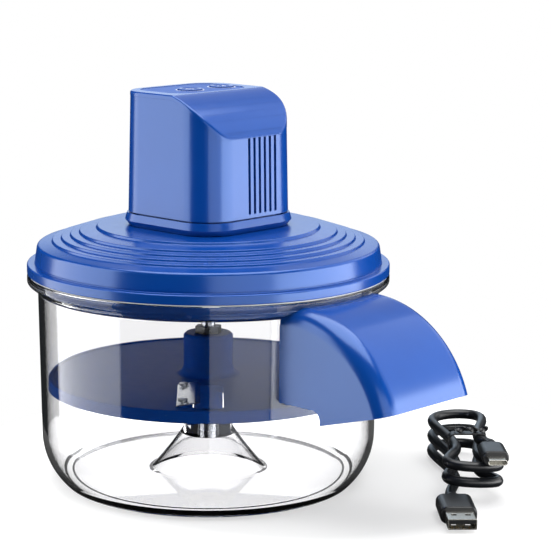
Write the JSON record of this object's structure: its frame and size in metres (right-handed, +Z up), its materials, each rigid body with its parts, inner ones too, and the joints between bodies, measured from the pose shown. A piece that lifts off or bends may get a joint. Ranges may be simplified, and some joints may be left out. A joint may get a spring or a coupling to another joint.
{
  "type": "electric grape peeler",
  "caption": "Countertop fruit peeler: clear round bowl with a curved outlet chute, a spinning slotted disc with a blade, a stepped lid and a rounded motor head with push buttons.",
  "frame": {"origin": "centre of the bowl's foot, on the bowl's axis, in the plane it stands on", "axes": "+Z up along the bowl's axis, +X out along the outlet chute, +Y to its left"},
  "size_m": [0.219, 0.1906, 0.174],
  "materials": {
    "clear_plastic": "clear, polished",
    "blue_plastic": "glossy moulded",
    "button_plastic": "glossy moulded",
    "panel_film": "satin film",
    "blade_steel": "ground edge",
    "steel": "bright",
    "plug_metal": "nickel plated",
    "bronze": "sintered",
    "nylon": "natural",
    "black_plastic": "moulded",
    "board_laminate": "solder mask",
    "cell_wrap": "shrink wrap",
    "silicone": "soft",
    "cable_rubber": "satin jacket"
  },
  "bodies": {
    "base": {"bowl": "clear_plastic", "pivot_pin": "steel", "thrust_washer": "nylon", "chute": "blue_plastic", "cable_hank": "cable_rubber", "cable_tie": "black_plastic", "plug_a": "cable_rubber", "plug_a_shell": "plug_metal", "plug_c": "cable_rubber", "plug_c_shell": "plug_metal"},
    "disc": {"disc": "blue_plastic", "blade": "blade_steel", "blade_screws": "steel"},
    "lid": {"lid": "blue_plastic", "gasket": "silicone"},
    "head": {"head_base": "blue_plastic", "housing": "blue_plastic", "top_cover": "blue_plastic", "panel": "panel_film", "board": "board_laminate", "switches": "black_plastic", "usb_socket": "steel", "battery": "cell_wrap", "motor": "steel", "idler_pin": "steel", "gear_plate": "nylon", "base_bush": "bronze", "plate_bush": "bronze", "shaft_seal": "silicone", "base_screws": "steel", "plate_screws": "steel", "motor_screws": "steel"},
    "drive": {"output_shaft": "steel", "output_gear": "nylon", "drive_dog": "black_plastic"},
    "idler": {"idler_gear": "nylon"},
    "rotor": {"motor_shaft": "steel", "pinion": "bronze"},
    "start_button": {"start_button": "button_plastic"},
    "mode_button": {"mode_button": "button_plastic"}
  },
  "joints": [
    {"name": "disc_spin", "type": "hinge", "parent": "base", "child": "disc", "pos_m": [0, 0, 0.045], "axis": [0, 0, 1], "continuous": true},
    {"name": "lid_lift", "type": "slide", "parent": "base", "child": "lid", "axis": [0, 0, 1], "range_m": [0, 0.06]},
    {"name": "head_lift", "type": "slide", "parent": "lid", "child": "head", "axis": [0, 0, 1], "range_m": [0, 0.07]},
    {"name": "drive_spin", "type": "hinge", "parent": "head", "child": "drive", "pos_m": [0, 0, 0.12], "axis": [0, 0, 1], "continuous": true},
    {"name": "idler_spin", "type": "hinge", "parent": "head", "child": "idler", "pos_m": [0, 0.015, 0.124], "axis": [0, 0, 1], "continuous": true},
    {"name": "rotor_spin", "type": "hinge", "parent": "head", "child": "rotor", "pos_m": [-0.012, 0.01, 0.128], "axis": [0, 0, 1], "continuous": true},
    {"name": "start_press", "type": "slide", "parent": "head", "child": "start_button", "axis": [0, 0, -1], "range_m": [0, 0.001], "stiffness_N_per_m": 300, "springref_m": -0.001},
    {"name": "mode_press", "type": "slide", "parent": "head", "child": "mode_button", "axis": [0, 0, -1], "range_m": [0, 0.001], "stiffness_N_per_m": 300, "springref_m": -0.001}
  ],
  "couplings": [
    {"joint": "drive_spin", "follows": "disc_spin", "ratio": 1},
    {"joint": "idler_spin", "follows": "disc_spin", "ratio": -3.2857},
    {"joint": "rotor_spin", "follows": "disc_spin", "ratio": 10.952}
  ]
}
